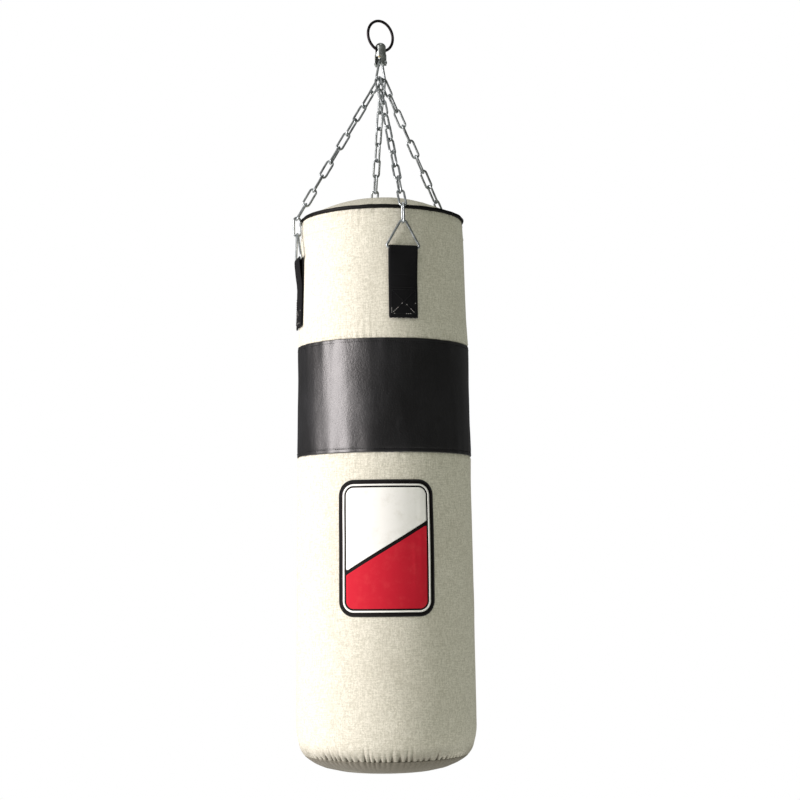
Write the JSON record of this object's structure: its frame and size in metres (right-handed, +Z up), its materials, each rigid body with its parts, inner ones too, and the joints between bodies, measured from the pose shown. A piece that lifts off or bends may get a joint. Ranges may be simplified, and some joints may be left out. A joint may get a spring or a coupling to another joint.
{
  "type": "hanging heavy bag",
  "caption": "Hanging canvas punching bag: filled cylinder with vinyl band, sewn strap loops, chains, swivel and top ring, free to swing and spin.",
  "frame": {"origin": "the hanging ring's inner top, where it rests on a hook", "axes": "+Z up the load line through the bag's axis, -Y towards the side with the emblem"},
  "size_m": [0.3167, 0.3188, 1.337],
  "materials": {
    "dark_steel": "black oxide, satin",
    "nickel_steel": "dull nickel plate",
    "brass": "machined",
    "zinc_steel": "bright zinc plate",
    "webbing": "woven webbing, sewn",
    "canvas": "plain-woven canvas",
    "piping": "vinyl piping",
    "vinyl": "glossy vinyl",
    "foam": "felted sheet",
    "rag_filling": "packed textile",
    "emblem_black": "printed patch",
    "emblem_red": "printed patch",
    "emblem_white": "printed patch",
    "zip_cloth": "woven tape",
    "zip_brass": "aged",
    "zip_metal": "die cast"
  },
  "bodies": {
    "ring": {"hanging_ring": "dark_steel"},
    "head": {"swivel_head": "nickel_steel", "retaining_nut": "nickel_steel"},
    "yoke": {"swivel_yoke": "nickel_steel", "yoke_pin": "nickel_steel", "thrust_washer": "brass"},
    "link": {"connector_link": "nickel_steel"},
    "bag": {"chain_front": "zinc_steel", "chain_right": "zinc_steel", "chain_back": "zinc_steel", "chain_left": "zinc_steel", "triangle_ring_front": "zinc_steel", "triangle_ring_right": "zinc_steel", "triangle_ring_back": "zinc_steel", "triangle_ring_left": "zinc_steel", "strap_front": "webbing", "strap_right": "webbing", "strap_back": "webbing", "strap_left": "webbing", "top_panel": "canvas", "rim_piping": "piping", "upper_panel": "canvas", "vinyl_band": "vinyl", "lower_panel": "canvas", "base_panel": "canvas", "foam_liner": "foam", "filling": "rag_filling", "emblem_patch": "emblem_black", "emblem_line": "emblem_white", "emblem_white": "emblem_white", "emblem_red": "emblem_red", "zip_tape": "zip_cloth", "zip_teeth": "zip_brass"},
    "slider": {"zip_slider": "zip_metal"},
    "pull": {"zip_pull": "zip_metal"}
  },
  "joints": [
    {"name": "head_swing", "type": "hinge", "parent": "ring", "child": "head", "pos_m": [0, 0, -0.0525], "axis": [0.8192, 0.5736, 0], "range_deg": [-60, 60]},
    {"name": "swivel_spin", "type": "hinge", "parent": "head", "child": "yoke", "pos_m": [0, 0, -0.0645], "axis": [0, 0, 1], "continuous": true},
    {"name": "link_swing", "type": "hinge", "parent": "yoke", "child": "link", "pos_m": [0, 0, -0.076], "axis": [0.8434, -0.5373, 0], "range_deg": [-45, 45]},
    {"name": "chain_swing", "type": "hinge", "parent": "link", "child": "bag", "pos_m": [0, 0, -0.1076], "axis": [-0.5373, -0.8434, 0], "range_deg": [-40, 40]},
    {"name": "slider_travel", "type": "hinge", "parent": "bag", "child": "slider", "pos_m": [0, 0, -0.60792], "axis": [-0.5373, -0.8434, 0], "range_deg": [-31.19, 0]},
    {"name": "pull_flip", "type": "hinge", "parent": "slider", "child": "pull", "pos_m": [-0.06306, 0.04017, -0.33558], "axis": [-0.5373, -0.8434, 0], "range_deg": [0, 150]}
  ]
}
